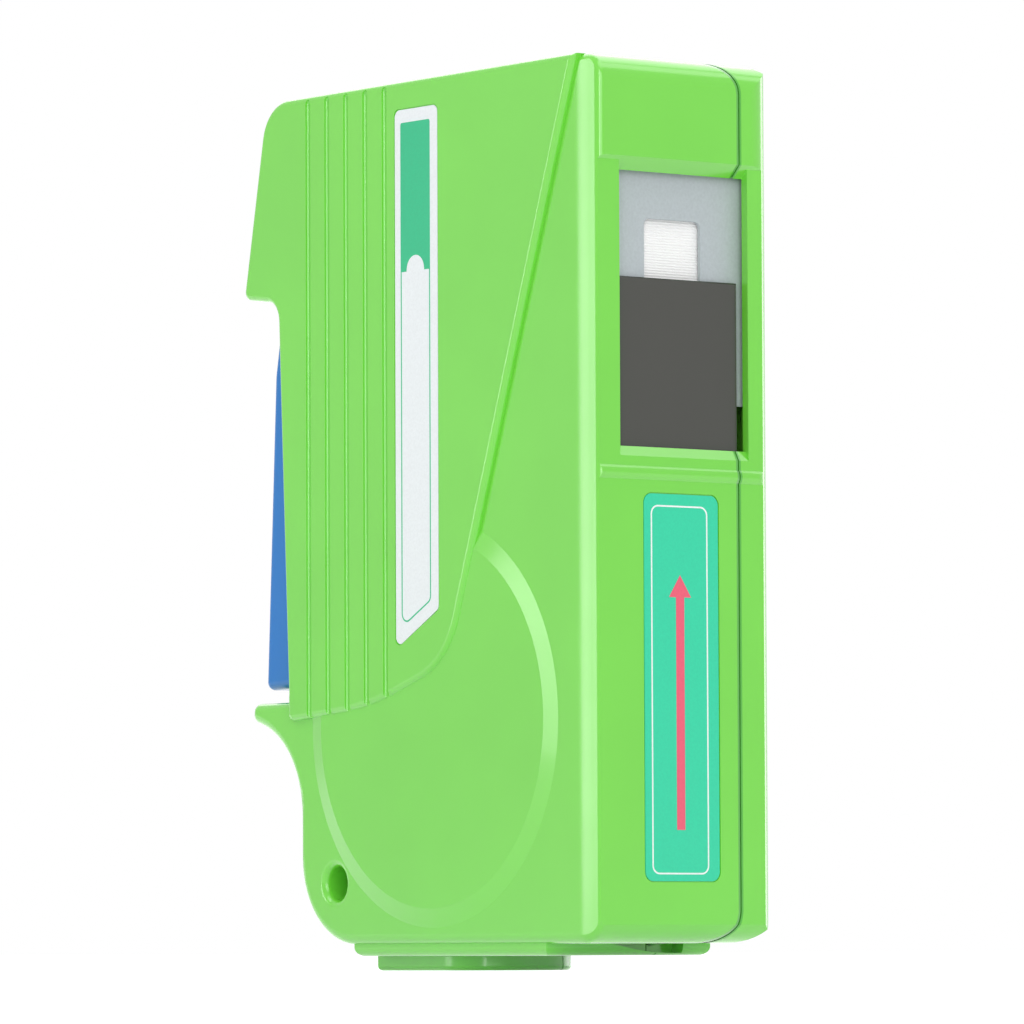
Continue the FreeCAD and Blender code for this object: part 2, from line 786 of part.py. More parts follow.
def lever():
    """Squeeze lever: outer skin, two side skirts, pivot tube and the toothed sector."""
    side = face([
        (lever_bottom_back, lever_bottom_up, 1.0),
        (lever_skirt_bottom_back, lever_bottom_up + 0.6, lever_skirt_round),
        (lever_skirt_top_back, lever_knee_up, lever_skirt_round),
        (pivot_back - lever_boss_radius, pivot_up, 0),
        (pivot_back + lever_boss_radius, pivot_up, 0),
        (lever_knee_back, lever_knee_up, lever_knee_round),
    ])
    body = slab(side, -lever_half, lever_half)
    outer = rim_edges(body, -lever_half) + rim_edges(body, lever_half)
    outer = [e for e in outer if e.BoundBox.XMax < front_x - lever_knee_back + 4]
    body = body.makeFillet(1.2, outer)
    room = face([
        (lever_bottom_back - lever_skin, lever_bottom_up + lever_skin, 0),
        (lever_floor_back, lever_bottom_up + lever_skin, 0),
        (lever_floor_back, lever_bottom_up - 2, 0),
        (lever_skirt_bottom_back - 8, lever_bottom_up - 2, 0),
        (lever_skirt_bottom_back - 8, pivot_up + 8, 0),
        (pivot_back + 1.0, pivot_up + 8, 0),
        (lever_knee_back - lever_skin, lever_knee_up, 0),
    ])
    body = body.cut(slab(room, -lever_half + lever_skin, lever_half - lever_skin))
    tube = rod(pivot_back, pivot_up, lever_boss_radius, -lever_half, lever_half)
    body = fuse([body, tube, sector()])
    return body.cut(rod(pivot_back, pivot_up, pivot_pin_radius + run_fit, near_y, far_y))


def sector():
    """Toothed sector that turns with the lever, with a gap on the line to the gear."""
    line_angle = mesh_angle() + math.pi
    pitch = 2 * math.pi / sector_teeth
    points = []
    for i in range(sector_first, sector_last):
        points += tooth_points(pivot_back, pivot_up, sector_radius, line_angle + (i + 0.5) * pitch)
    root = sector_radius - dedendum - sector_rim
    centre = place(pivot_back, pivot_up)
    first = line_angle + (sector_first + 0.2) * pitch
    last = line_angle + (sector_last - 1.2) * pitch
    middle = (first + last) / 2

    def at(radius, turn):
        return centre + V(radius * math.cos(turn), 0, radius * math.sin(turn))
    edges = [Part.makeLine(a, b) for a, b in zip(points[:-1], points[1:])]
    edges.append(Part.makeLine(points[-1], at(root, last)))
    edges.append(Part.Arc(at(root, last), at(root, middle), at(root, first)).toShape())
    edges.append(Part.makeLine(at(root, first), points[0]))
    rim = slab(Part.Face(Part.Wire(edges)), gear_far_y + layer_gap, lever_half)
    arms = []
    for turn in (first + 0.06, last - 0.06):
        arm = Part.makeBox(root + 1, lever_half - gear_far_y - layer_gap, 4.0,
                           V(0, gear_far_y + layer_gap, -2.0))
        arm.rotate(V(0, 0, 0), V(0, 1, 0), -math.degrees(turn))
        arm.translate(V(centre.x, 0, centre.z))
        arms.append(arm)
    return fuse([rim] + arms)


def lever_spring():
    """Compression spring from its seat to the lever's skin, wound as short straight runs."""
    skin_back = lever_knee_back - lever_skin
    lean = (lever_bottom_back - lever_knee_back) / (lever_knee_up - lever_bottom_up)
    far_end = skin_back + lean * (lever_knee_up - spring_up) - spring_wire - layer_gap
    near_end = spring_seat_back + spring_seat_thickness + spring_wire + 0.05
    steps = spring_turns * spring_steps
    points = []
    for i in range(steps + 1):
        turn = 2 * math.pi * i / spring_steps
        back = near_end + (far_end - near_end) * i / steps
        points.append(place(back, spring_up + spring_radius * math.sin(turn),
                            spring_radius * math.cos(turn)))
    path = Part.makePolygon(points)
    ring = [points[0] + V(0, spring_wire * math.cos(t), 0)
            + V(spring_wire * math.sin(t), 0, 0) for t in
            [2 * math.pi * k / 6 for k in range(6)]]
    profile = Part.makePolygon(ring + ring[:1])
    return Part.Wire(path).makePipeShell([profile], True, False, 1)


def shutter():
    """Plain slide with a narrow bevel round its front face."""
    plate = block((shutter_back, shutter_back + shutter_thickness),
                  (shutter_top - shutter_length, shutter_top),
                  window_y - shutter_half, window_y + shutter_half)
    front = [e for e in plate.Edges if e.BoundBox.XMin > front_x - shutter_back - 1e-3]
    return plate.makeChamfer(shutter_bevel, front)


def shutter_slider():
    """Cross piece behind the shutter, arm to the gear side and the upright rack."""
    back = shutter_back + shutter_thickness
    low = shutter_top - shutter_length + 0.5
    high = low + slider_height
    cross = block((back, back + slider_thickness), (low, high), -shutter_half + 0.5, gear_near_y)
    rack_back = takeup_back - gear_radius
    arm = block((back, rack_back), (low, high), gear_near_y, gear_far_y)
    upright = block((rack_back - addendum - rack_back_width, rack_back - dedendum),
                    (low + 4.0, takeup_up + rack_reach), gear_near_y, gear_far_y)
    return fuse([cross, arm, upright, rack_teeth(rack_back)])


def rack_teeth(pitch_back):
    """Straight teeth that face back to the gear, one centred on the gear's axle."""
    pitch = math.pi * tooth_module
    half = (pitch / 2 - tooth_slack) / 2
    slope = math.tan(math.radians(pressure_angle))
    teeth = []
    count = int(rack_reach / pitch)
    for i in range(-count - 1, count):
        up = takeup_up + i * pitch
        flank = face([
            (pitch_back + addendum, up - half + addendum * slope, 0),
            (pitch_back + addendum, up + half - addendum * slope, 0),
            (pitch_back - dedendum - 0.2, up + half + dedendum * slope, 0),
            (pitch_back - dedendum - 0.2, up - half - dedendum * slope, 0),
        ])
        teeth.append(slab(flank, gear_near_y, gear_far_y))
    return fuse(teeth)


# ---------------------------------------------------------------- behind the window
def tape_plate():
    """Slotted plate with two side flanges that reach back round the pad holder."""
    plate = block((plate_back, plate_back + plate_thickness), (plate_bottom, plate_top),
                  -plate_half, plate_half)
    slot = block((plate_back - 1, plate_back + plate_thickness + 1), (slot_bottom, slot_top),
                 -slot_half, slot_half)
    corners = [e for e in slot.Edges if e.BoundBox.XLength > 1]
    slot = slot.makeFillet(slot_corner, corners)
    flanges = []
    for side in (-1, 1):
        inside = side * (holder_half + slide_fit)
        outside = inside + side * 1.2
        flanges.append(block((plate_back + plate_thickness - 0.2, holder_back + 0.2),
                             (plate_bottom + 4, plate_top - 8), min(inside, outside),
                             max(inside, outside)))
    return fuse([plate.cut(slot)] + flanges)


def upper_bend(bend):
    """Height where the tape's upright run meets its run down to the take-up roll."""
    pin_back = tape_back + bend
    pin_up = pad_top + pad_seat + upper_pin_gap + guide_radius
    across = takeup_back - pin_back
    rise = takeup_up - pin_up
    both = bend + takeup_roll_radius + soft_gap
    lean = math.atan2(rise, across) - math.asin(both / math.hypot(across, rise))
    return pin_up + bend * math.cos(lean) - bend * (1 - math.sin(lean)) * math.tan(lean)


def tape_bends():
    """Corners of the tape's run from the supply roll to the take-up roll."""
    bend = guide_radius + pin_film + tape_thickness / 2
    middle = [
        (tape_back, lower_bend_up, bend),
        (tape_back, upper_bend(bend), bend),
    ]
    start = touch(middle[0], (supply_back, supply_up), supply_roll_radius + soft_gap, -1)
    end = touch(middle[-1], (takeup_back, takeup_up), takeup_roll_radius + soft_gap, -1)
    return [start + (0,)] + middle + [end + (0,)]


def touch(corner, centre, radius, side):
    """Where a straight run from a corner touches a circle, on the given side."""
    across = centre[0] - corner[0]
    rise = centre[1] - corner[1]
    distance = math.hypot(across, rise)
    lean = math.atan2(rise, across) + side * math.asin(radius / distance)
    reach = math.sqrt(distance ** 2 - radius ** 2)
    return corner[0] + reach * math.cos(lean), corner[1] + reach * math.sin(lean)


def cleaning_tape():
    run = Part.Wire(rounded_edges(tape_bends(), closed=False))
    strip = run.makeOffset2D(tape_thickness / 2, 0, True, True)
    back = run.makeOffset2D(-tape_thickness / 2, 0, True, True)
    return slab(strip, -tape_half, tape_half).fuse(slab(back, -tape_half, tape_half)).removeSplitter()


def guide_centre(i):
    return bend_centre(tape_bends(), i)


def pad_holder():
    """Carrier of the pad and the two guide pins, footed on the labelled shell's wall."""
    body = block((holder_back, holder_back + holder_depth), (pad_bottom - pad_seat, pad_top + pad_seat),
                 -holder_half, holder_half)
    ears = []
    for i, low, high in ((1, lower_bend_up, pad_bottom), (2, pad_top, guide_centre(2)[1])):
        back, up = guide_centre(i)
        for side in (-1, 1):
            edge = side * holder_half
            inner = side * (tape_half + soft_gap)
            web = block((min(back, holder_back) - 0.5, holder_back + holder_depth),
                        (low - 1.0, high + 1.0), min(edge, inner), max(edge, inner))
            ears += [web, rod(back, up, ear_radius, min(edge, inner), max(edge, inner))]
    footing = block((holder_back + 0.5, holder_back + holder_depth), (pad_bottom + 3, pad_top - 3),
                    inner_near_y, -holder_half)
    body = fuse([body, footing] + ears)
    for i in (1, 2):
        back, up = guide_centre(i)
        body = body.cut(rod(back, up, guide_radius - 1 + seat_fit, near_y, far_y))
    return body


def guide_pin(i):
    back, up = guide_centre(i)
    half = tape_half + 0.1
    parts = [rod(back, up, guide_radius, -half, half),
             rod(back, up, guide_radius - 1, -holder_half, holder_half)]
    return fuse(parts)


def backing_pad():
    pad = block((pad_back, holder_back), (pad_bottom, pad_top), -tape_half, tape_half)
    soft = [e for e in pad.Edges if e.BoundBox.XMin > front_x - pad_back - 1e-3]
    return pad.makeFillet(0.6, soft)


# ---------------------------------------------------------------- springs on the case
def thick_strip(edges, thickness, low_y, high_y):
    """Bent strip of even thickness along an open run of edges in the side view."""
    run = Part.Wire(edges)
    sides = [run.makeOffset2D(side * thickness / 2, 0, True, True) for side in (1, -1)]
    return fuse([slab(side, low_y, high_y) for side in sides])


def supply_brake():
    """Bowed spring strip under the supply reel; it rubs the rims and keeps the tape tight."""
    foot_up = wall + spring_strip / 2
    crown = supply_up - flange_radius - layer_gap - spring_strip / 2
    ends = [place(supply_back + side * brake_half, foot_up) for side in (-1, 1)]
    feet = [place(supply_back + side * (brake_half + brake_foot), foot_up) for side in (-1, 1)]
    edges = [Part.makeLine(feet[0], ends[0]),
             Part.Arc(ends[0], place(supply_back, crown), ends[1]).toShape(),
             Part.makeLine(ends[1], feet[1])]
    return thick_strip(edges, spring_strip, -reel_outer, reel_outer)


def ratchet_spring():
    """Leaf that drops into the ratchet's teeth, with an eye round its post."""
    turn = math.radians(110)
    reach = ratchet_radius + layer_gap + spring_strip / 2
    tip = place(takeup_back - reach * math.cos(turn), takeup_up + reach * math.sin(turn))
    root = place(pawl_post_back, pawl_post_up)
    along = (tip - root).normalize()
    low_y = -reel_outer - ratchet_thickness
    high_y = -reel_outer - layer_gap - 0.1
    across = V(-along.z, 0, along.x) * (spring_strip / 2)
    start = root + along * (pawl_post_radius + 0.3)
    blade = Part.Face(Part.makePolygon([start + across, tip + across, tip - across, start - across,
                                        start + across]))
    eye = rod(pawl_post_back, pawl_post_up, pawl_post_radius + 0.8, low_y, high_y)
    body = fuse([slab(blade, low_y, high_y), eye])
    return body.cut(rod(pawl_post_back, pawl_post_up, pawl_post_radius + seat_fit, near_y, far_y))


# ---------------------------------------------------------------- all nodes
def build():
    return {
        "label_shell": near_shell(),
        "cover_shell": far_shell(),
        "side_label": side_label(0, near_y + label_recess - label_thickness, near_y + label_recess),
        "arrow_label": front_label(0, front_step + label_recess - label_thickness, label_thickness),
        "tape_plate": tape_plate(),
        "pad_holder": pad_holder(),
        "backing_pad": backing_pad(),
        "cleaning_tape": cleaning_tape(),
        "lower_guide_pin": guide_pin(1),
        "upper_guide_pin": guide_pin(2),
        "supply_reel": reel(supply_back, supply_up),
        "supply_tape_roll": roll(supply_back, supply_up, supply_roll_radius),
        "supply_axle": axle(supply_back, supply_up, axle_radius, inner_near_y - 1.2, inner_far_y + 1),
        "supply_brake_spring": supply_brake(),
        "takeup_reel": reel(takeup_back, takeup_up),
        "takeup_tape_roll": roll(takeup_back, takeup_up, takeup_roll_radius),
        "takeup_axle": axle(takeup_back, takeup_up, axle_radius, inner_near_y - 1.2, inner_far_y + 1),
        "stop_ratchet": ratchet(-reel_outer - ratchet_thickness, -reel_outer, 1),
        "drive_ratchet": ratchet(reel_outer, reel_outer + ratchet_thickness, 1),
        "stop_spring": ratchet_spring(),
        "drive_gear": drive_gear(),
        "drive_finger": drive_finger(),
        "lever": lever(),
        "lever_pin": axle(pivot_back, pivot_up, pivot_pin_radius, inner_near_y - 2, inner_far_y + 1),
        "lever_spring": lever_spring(),
        "shutter": shutter(),
        "shutter_slider": shutter_slider(),
    }


os.makedirs("parts", exist_ok=True)
for name, shape in build().items():
    shape.exportStep("parts/" + name + ".step")
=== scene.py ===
import math

import bpy
import numpy as np
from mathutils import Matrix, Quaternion, Vector


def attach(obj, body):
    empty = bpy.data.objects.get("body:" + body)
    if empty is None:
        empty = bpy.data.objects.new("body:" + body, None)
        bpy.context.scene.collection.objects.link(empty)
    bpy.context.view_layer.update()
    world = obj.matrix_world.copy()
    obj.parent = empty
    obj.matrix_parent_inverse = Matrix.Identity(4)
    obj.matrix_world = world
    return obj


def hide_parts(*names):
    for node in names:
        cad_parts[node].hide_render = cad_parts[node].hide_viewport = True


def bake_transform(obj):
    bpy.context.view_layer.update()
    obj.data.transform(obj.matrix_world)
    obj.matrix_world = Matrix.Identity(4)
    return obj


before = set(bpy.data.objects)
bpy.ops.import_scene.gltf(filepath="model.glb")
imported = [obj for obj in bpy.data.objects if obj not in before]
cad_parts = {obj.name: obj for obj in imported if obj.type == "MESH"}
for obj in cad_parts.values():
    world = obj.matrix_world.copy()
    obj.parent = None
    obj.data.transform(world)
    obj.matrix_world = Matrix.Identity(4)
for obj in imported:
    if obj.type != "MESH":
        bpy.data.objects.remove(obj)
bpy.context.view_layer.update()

# The cassette's own sizes, in millimetres.  Places in the side view are (back, up): back from the
# front face and up from the underside, as the case was drawn.
MM = 0.001
FRONT_X = 39.8
FOOT_DROP = 3.6                # the case's underside stands this far above the table
CASE_HEIGHT = 118.0
SEAM_Y = 9.4                   # middle of the line between the shells
SEAM_ROUND = 4.5               # radius by which that line turns at the top and the bottom
SEAM_HALF_WIDTH = 0.5          # the shells' edges are rounded over this much each side, by bump; the painted shade fades out here
SEAM_PAINTED_SHADE_WIDTH = 0.3         # the painted seam shade is darkest within this much of the line
SEAM_DEPTH = 0.1
# Dark green painted into the case colour along the seam: painted shade in the groove between the
# shells.
SEAM_PAINTED_SHADE = (0.08, 0.44, 0.04)
SEAM_START = 0.3               # past the corner's centre by less than this, no seam is near

LABEL_FACE_Y = -15.95          # outer face of the side label
LABEL_FACE_BACK = 0.55         # outer face of the arrow label
INK = 0.015                    # print stands this far off its film
INK_ROOT = 0.03

TAPE_HALF = 5.25
TAPE_THICKNESS = 0.25
# From the supply roll, round the lower and the upper guide pin, to the take-up roll.
TAPE_BENDS = [(20.2270, 24.1282), (3.675, 70.0), (3.675, 110.8902), (30.7185, 77.2881)]
TAPE_BEND_RADIUS = 2.675
RIB_PITCH = 0.36               # cross ribs of the woven tape
RIB_DEPTH = 0.03
TAKEUP_CENTRE = (40.3007, 85.0)
SUPPLY_CENTRE = (36.5, 30.0)
WOUND_FROM = 8.3               # innermost turn on either hub
TAKEUP_WOUND_TO = 11.85
SUPPLY_WOUND_TO = 16.85
TURN_PITCH = 0.3               # the radius grows by this much a turn
LAYER_SHARE = 0.4              # half thickness of a drawn layer, as a share of the tape's
STEPS_A_TURN = 72
SLOW_WAVER = (0.05, 5.3)       # depth and slowness of the wound edges' wavering
QUICK_WAVER = (0.04, 0.77)     # depth and quickness

PAD_BACK = (4.1, 6.5)
PAD_UP = (75.5, 97.8)
PAD_SIDE_POWER = 6
PAD_END_POWER = 8
PAD_END_REACH = 0.985
PAD_WAIST = 0.02

SPRING_BACK = (55.45, 75.73)
SPRING_UP = 57.25
SPRING_RADIUS = 3.6
SPRING_WIRE = 0.4
SPRING_TURNS = 7.5
SPRING_EASE = 0.11             # how far the pitch eases off towards both ends
SPRING_STEPS = 40              # sections a turn


# ---------------------------------------------------------------- shapes
def place(back, up, y):
    """Points of the side view and across it in the object's own frame, in metres."""
    back, up, y = np.broadcast_arrays(back, up, y)
    return np.stack([FRONT_X - back, y, FOOT_DROP + up], axis=-1) * MM


def swept_faces(rows, columns, closed):
    """Faces of a closed section carried along a path.

    Each face joins neighbours i, i+1 of one section to the same two of the next section.  A closed
    path joins its last section to its first, and an open one gets a flat face over each end."""
    here = np.arange(rows if closed else rows - 1)[:, None] * columns
    after = (here + columns) % (rows * columns)
    i = np.arange(columns)
    j = (i + 1) % columns
    quads = np.stack([here + i, here + j, after + j, after + i], axis=-1).reshape(-1, 4)
    faces = quads.tolist()
    if not closed:
        faces.append(list(range(columns))[::-1])
        faces.append(list(range((rows - 1) * columns, rows * columns)))
    return faces


def volume(points, faces):
    """Signed volume: a sixth of the sum of corner . (corner x corner) over the faces' triangles."""
    total = 0.0
    quads = np.array([f for f in faces if len(f) == 4])
    for a, b, c in ((0, 1, 2), (0, 2, 3)):
        p, q, r = (points[quads[:, k]] for k in (a, b, c))
        total += np.einsum("ij,ij->i", p, np.cross(q, r)).sum()
    return total / 6


def add_swept(name, sections, closed=False, smooth=True):
    """A piece from an array of sections (rows, columns, 3), its faces turned outwards."""
    rows, columns, _ = sections.shape
    points = sections.reshape(-1, 3)
    faces = swept_faces(rows, columns, closed)
    middle = points.mean(axis=0)
    if volume(points - middle, faces) < 0:
        faces = [f[::-1] for f in faces]
    mesh = bpy.data.meshes.new(name)
    mesh.from_pydata(points.tolist(), [], faces)
    mesh.polygons.foreach_set("use_smooth", [smooth] * len(mesh.polygons))
    mesh.update()
    piece = bpy.data.objects.new(name, mesh)
    bpy.context.scene.collection.objects.link(piece)
    return piece


def turned_path(corners, radius, steps, spacing):
    """Path through corners, each turned by an arc of the radius that touches both of its runs.

    The arc starts radius / tan(half the corner's angle) before the corner.  Runs are divided
    evenly, the i-th at its own spacing.  Returns points and unit tangents."""
    corners = np.array(corners, float)
    legs = np.diff(corners, axis=0)
    along = legs / np.linalg.norm(legs, axis=1)[:, None]
    points = []
    start = corners[0]
    for i in range(len(legs)):
        end = corners[i + 1]
        if i + 1 < len(legs):
            half = math.acos(np.clip(-along[i] @ along[i + 1], -1, 1)) / 2
            end = end - along[i] * radius / math.tan(half)
        count = max(2, round(np.linalg.norm(end - start) / spacing[i]))
        points.append(start + np.linspace(0, 1, count, endpoint=False)[:, None] * (end - start))
        if i + 1 < len(legs):
            side = np.sign(along[i][0] * along[i + 1][1] - along[i][1] * along[i + 1][0])
            inward = side * np.array([-along[i][1], along[i][0]])
            turn = np.linspace(0, math.pi - 2 * half, steps, endpoint=False)[:, None]
            points.append(end + radius * (along[i] * np.sin(turn) + inward * (1 - np.cos(turn))))
            start = end + radius * (along[i] * math.sin(math.pi - 2 * half)
                                    + inward * (1 - math.cos(math.pi - 2 * half)))
    points.append(corners[-1:])
    points = np.concatenate(points)
    tangents = np.gradient(points, axis=0)
    tangents /= np.linalg.norm(tangents, axis=1)[:, None]
    return points, tangents


# ---------------------------------------------------------------- tape, pad and spring
def tape_sections(points, tangents, half_thickness, across):
    """Sections of a strip: at each point, its two faces lie half a thickness either side along the
    path's normal, over the positions across."""
    normals = np.stack([-tangents[:, 1], tangents[:, 0]], axis=-1)
    offset = np.broadcast_to(half_thickness, (len(points),))[:, None] * normals
    outer = points + offset
    inner = points - offset
    y = np.concatenate([across, across[::-1]])
    count = len(across)
    back = np.concatenate([np.repeat(outer[:, :1], count, 1), np.repeat(inner[:, :1], count, 1)], 1)
    up = np.concatenate([np.repeat(outer[:, 1:], count, 1), np.repeat(inner[:, 1:], count, 1)], 1)
    return place(back, up, y[None, :])


def tape_run():
    """The tape between the two rolls.

    Its half thickness is a base value plus a sine of the length along the run, so that both faces
    carry the cross ribs; the run behind the window is divided finely enough to show them."""
    spacing = (1.0, RIB_PITCH / 8, 1.0)
    points, tangents = turned_path(TAPE_BENDS, TAPE_BEND_RADIUS, 24, spacing)
    steps = np.linalg.norm(np.diff(points, axis=0), axis=1)
    length = np.concatenate([[0.0], np.cumsum(steps)])
    fine = np.concatenate([[False], steps < RIB_PITCH / 4])
    ribs = RIB_DEPTH * np.sin(2 * math.pi * length / RIB_PITCH) * fine
    half = TAPE_THICKNESS / 2 - RIB_DEPTH + ribs
    across = np.linspace(-TAPE_HALF, TAPE_HALF, 9)
    piece = add_swept("tape_run", tape_sections(points, tangents, half, across), smooth=False)
    return piece, length[-1]


def wound_tape(name, centre, outer_radius, end_angle):
    """Tape wound on a hub: the radius grows by one pitch a turn, r = first + pitch t / (2 pi),
    and the layers' edges waver a little by two sines of t, so that the side looks wound."""
    turns = (outer_radius - WOUND_FROM) / TURN_PITCH
    t = np.linspace(0, 2 * math.pi * turns, int(turns * STEPS_A_TURN))
    radius = WOUND_FROM + TURN_PITCH * t / (2 * math.pi)
    angle = t - t[-1] + end_angle
    points = np.stack([centre[0] + radius * np.cos(angle), centre[1] + radius * np.sin(angle)], -1)
    tangents = np.gradient(points, axis=0)
    tangents /= np.linalg.norm(tangents, axis=1)[:, None]
    across = np.array([-TAPE_HALF, 0.0, TAPE_HALF])
    sections = tape_sections(points, tangents, TAPE_THICKNESS * LAYER_SHARE, across)
    waver = (SLOW_WAVER[0] * np.sin(t / SLOW_WAVER[1])
             + QUICK_WAVER[0] * np.sin(t * QUICK_WAVER[1]))
    sections[:, :, 1] *= (1 - np.abs(waver) / TAPE_HALF)[:, None]
    length = np.linalg.norm(np.diff(points, axis=0), axis=1).sum()
    return add_swept(name, sections), length


def backing_foam():
    """Foam pad: at height w its section is the superellipse |x/a|^6 + |y/b|^6 = 1, shrunk near the
    two ends by (1 - |w|^8)^(1/8) and drawn in slightly at mid height between the corners."""
    w = np.sin(np.linspace(-0.5, 0.5, 41) * math.pi * PAD_END_REACH)
    t = np.linspace(0, 2 * math.pi, 64, endpoint=False)
    shrink = (1 - np.abs(w) ** PAD_END_POWER) ** (1 / PAD_END_POWER)
    waist = 1 - PAD_WAIST * np.cos(w * math.pi / 2)
    depth = (PAD_BACK[1] - PAD_BACK[0]) / 2
    height = (PAD_UP[1] - PAD_UP[0]) / 2
    round_x = np.sign(np.cos(t)) * np.abs(np.cos(t)) ** (2 / PAD_SIDE_POWER)
    round_y = np.sign(np.sin(t)) * np.abs(np.sin(t)) ** (2 / PAD_SIDE_POWER)
    back = (PAD_BACK[0] + depth) + depth * shrink[:, None] * round_x[None, :]
    y = TAPE_HALF * (shrink * waist)[:, None] * round_y[None, :]
    up = PAD_UP[0] + height + height * w[:, None]
    return add_swept("backing_foam", place(back, up, y))


def lever_coil():
    """Round-wire spring: its centre line is a helix whose pitch eases off at both ends, so that the
    end turns lie flat; the wire is a circle in the plane of the axis and the radius."""
    steps = int(SPRING_TURNS * SPRING_STEPS)
    u = np.linspace(0, 1, steps)
    eased = u - SPRING_EASE * np.sin(2 * math.pi * u) * np.abs(np.cos(math.pi * u))
    turn = 2 * math.pi * SPRING_TURNS * u
    middle = SPRING_BACK[0] + (SPRING_BACK[1] - SPRING_BACK[0]) * eased
    a = np.linspace(0, 2 * math.pi, 12, endpoint=False)
    radius = SPRING_RADIUS + SPRING_WIRE * np.cos(a)[None, :]
    back = middle[:, None] + SPRING_WIRE * np.sin(a)[None, :]
    up = SPRING_UP + radius * np.sin(turn)[:, None]
    y = radius * np.cos(turn)[:, None]
    return add_swept("lever_coil", place(back, up, y))


# ---------------------------------------------------------------- print on the labels
def printed(name, left, right, to_place, face, out, closed=False):
    """A thin slab of ink between two lines of equal length, from just inside the film's face to
    just proud of it.  out is the sign of the outward direction."""
    sections = np.stack([
        to_place(left, face + out * INK), to_place(right, face + out * INK),
        to_place(right, face - out * INK_ROOT), to_place(left, face - out * INK_ROOT),
    ], axis=1)
    return add_swept(name, sections, closed, smooth=False)


def on_side(line, y):
    return place(line[:, 0], line[:, 1], y)


def on_front(line, back):
    return place(back, line[:, 1], line[:, 0])


def corner_directions(corners):
    """At each corner: unit vectors to its two neighbours, half the angle between them, and the
    unit vector that halves it."""
    before = np.roll(corners, 1, axis=0) - corners
    after = np.roll(corners, -1, axis=0) - corners
    before /= np.linalg.norm(before, axis=1)[:, None]
    after /= np.linalg.norm(after, axis=1)[:, None]
    half = np.arccos((before * after).sum(axis=1)) / 2
    inward = before + after
    inward /= np.linalg.norm(inward, axis=1)[:, None]
    return before, after, half, inward


def rounded_outline(corners, radius, steps=9):
    """Closed line through the corners of a convex shape, each turned by an arc of the radius."""
    corners = np.array(corners, float)
    before, after, half, inward = corner_directions(corners)
    centres = corners + inward * (radius / np.sin(half))[:, None]
    starts = corners + before * (radius / np.tan(half))[:, None] - centres
    ends = corners + after * (radius / np.tan(half))[:, None] - centres
    first = np.arctan2(starts[:, 1], starts[:, 0])
    sweep = (np.arctan2(ends[:, 1], ends[:, 0]) - first + math.pi) % (2 * math.pi) - math.pi
    t = first[:, None] + sweep[:, None] * np.linspace(0, 1, steps)[None, :]
    line = centres[:, None, :] + radius * np.stack([np.cos(t), np.sin(t)], axis=-1)
    return line.reshape(-1, 2)


def inset(corners, amount):
    """Corners of a convex outline moved inwards, so that every side moves by the amount."""
    corners = np.array(corners, float)
    _, _, half, inward = corner_directions(corners)
    return corners + inward * (amount / np.sin(half))[:, None]


ARROW_FRAME = [(-5.65, 9.1), (4.0, 9.1), (4.0, 58.1), (-5.65, 58.1)]
ARROW_FRAME_ROUND = 1.2
ARROW_MIDDLE = -0.73
ARROW_FOOT = 15.0
ARROW_NECK = 45.9
ARROW_NECK_STEP = 0.0001       # the shaft widens to the head over this height
ARROW_TIP = 48.83
ARROW_SHAFT_HALF = 0.7
ARROW_HEAD_HALF = 1.88
ARROW_TIP_HALF = 0.02
SIDE_PRINT = (35.5, 42.2)      # front and back edge of all that is printed on the side label
SIDE_BLOCK_UP = (91.7, 112.2)
SIDE_LINE_ENDS = (46.6, 43.2)  # where the thin line turns, at its front and at its back edge
SIDE_BUMP_RADIUS = 2.0
SIDE_BUMP_RISE = 0.15
SIDE_BLOCK_ROUND = 0.35
SIDE_LINE_ROUND = 1.1
OUTLINE_WIDTH = 0.22


def arrow_outline():
    """White line with round corners, a little inside the label's edge."""
    outer = rounded_outline(ARROW_FRAME, ARROW_FRAME_ROUND)
    inner = rounded_outline(inset(ARROW_FRAME, OUTLINE_WIDTH), ARROW_FRAME_ROUND - OUTLINE_WIDTH)
    return printed("arrow_label_outline", outer, inner, on_front, LABEL_FACE_BACK, -1, closed=True)


def arrow_shape():
    """Arrow as a band whose half width steps from the shaft to the head and narrows to the tip."""
    up = np.array([ARROW_FOOT, ARROW_NECK, ARROW_NECK + ARROW_NECK_STEP, ARROW_TIP])
    half = np.array([ARROW_SHAFT_HALF, ARROW_SHAFT_HALF, ARROW_HEAD_HALF, ARROW_TIP_HALF])
    left = np.stack([ARROW_MIDDLE - half, up], axis=-1)
    right = np.stack([ARROW_MIDDLE + half, up], axis=-1)
    return printed("arrow_label_arrow", left, right, on_front, LABEL_FACE_BACK, -1)


def side_block():
    """Solid block whose lower edge is cut by a round notch: at x from its middle the edge rises by
    a short straight part plus sqrt(r^2 - x^2).  Its upper corners are arcs."""
    front, rear = SIDE_PRINT
    back = np.linspace(front, rear, 97)
    x = np.clip(np.abs(back - (front + rear) / 2), 0, SIDE_BUMP_RADIUS)
    notch = SIDE_BUMP_RISE + np.sqrt(SIDE_BUMP_RADIUS ** 2 - x ** 2)
    low = SIDE_BLOCK_UP[0] + np.where(x < SIDE_BUMP_RADIUS, notch, 0.0)
    from_side = np.minimum(back - front, rear - back)
    edge = np.clip(SIDE_BLOCK_ROUND - from_side, 0, SIDE_BLOCK_ROUND)
    top = SIDE_BLOCK_UP[1] - SIDE_BLOCK_ROUND + np.sqrt(SIDE_BLOCK_ROUND ** 2 - edge ** 2)
    return printed("side_label_block", np.stack([back, low], -1), np.stack([back, top], -1),
                   on_side, LABEL_FACE_Y, -1)


